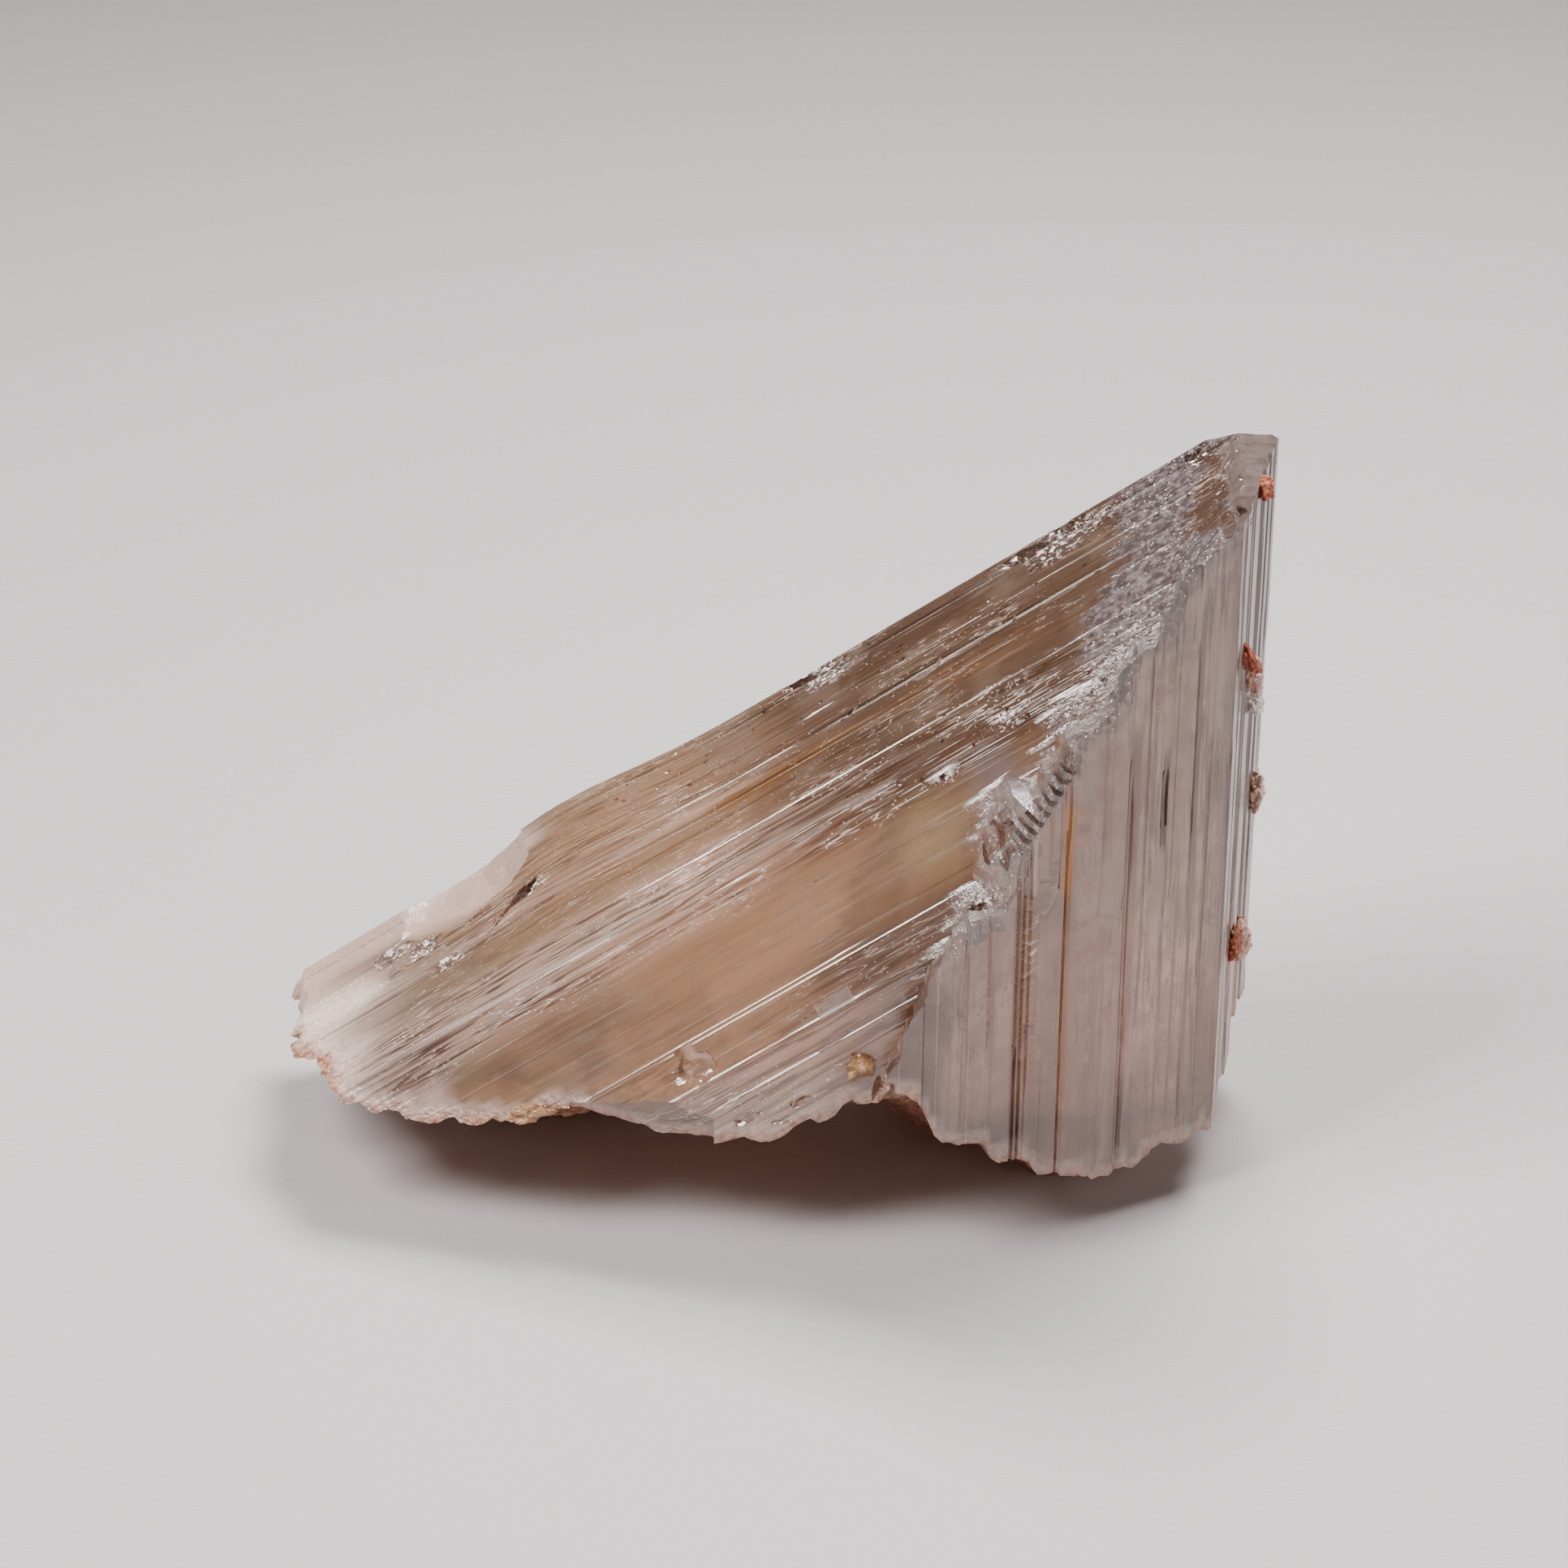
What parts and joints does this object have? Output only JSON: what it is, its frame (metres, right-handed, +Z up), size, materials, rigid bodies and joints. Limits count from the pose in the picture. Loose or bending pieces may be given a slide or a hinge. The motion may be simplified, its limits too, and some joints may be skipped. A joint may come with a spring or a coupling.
{
  "type": "mineral specimen",
  "caption": "V-shaped twin of two striated, translucent tan crystals meeting on a jagged seam, with rough broken base and small rusty crusts.",
  "frame": {"origin": "centre of the specimen's bounding box at the table it rests on", "axes": "+Z up, +X towards the standing right arm, -Y towards the front with the V-shaped seam"},
  "size_m": [0.0506, 0.0228, 0.0367],
  "materials": {
    "cerussite": "translucent smoky tan crystal, striated, vitreous to adamantine, frosted at the broken end",
    "red_crust": "dull granular iron-red crust",
    "pink_crust": "dull granular pink crust",
    "white_crust": "dull white grains",
    "brown_grain": "dull orange-brown grain"
  },
  "bodies": {
    "root": {"cerussite_twin": "cerussite", "red_crust_tip": "red_crust", "red_crust_upper": "red_crust", "pink_crust_upper": "pink_crust", "white_crust_upper": "white_crust", "pink_crust_side": "pink_crust", "red_crust_lower": "red_crust", "pink_crust_lower": "pink_crust", "brown_grain_left": "brown_grain", "brown_grain_notch": "brown_grain"}
  },
  "joints": []
}
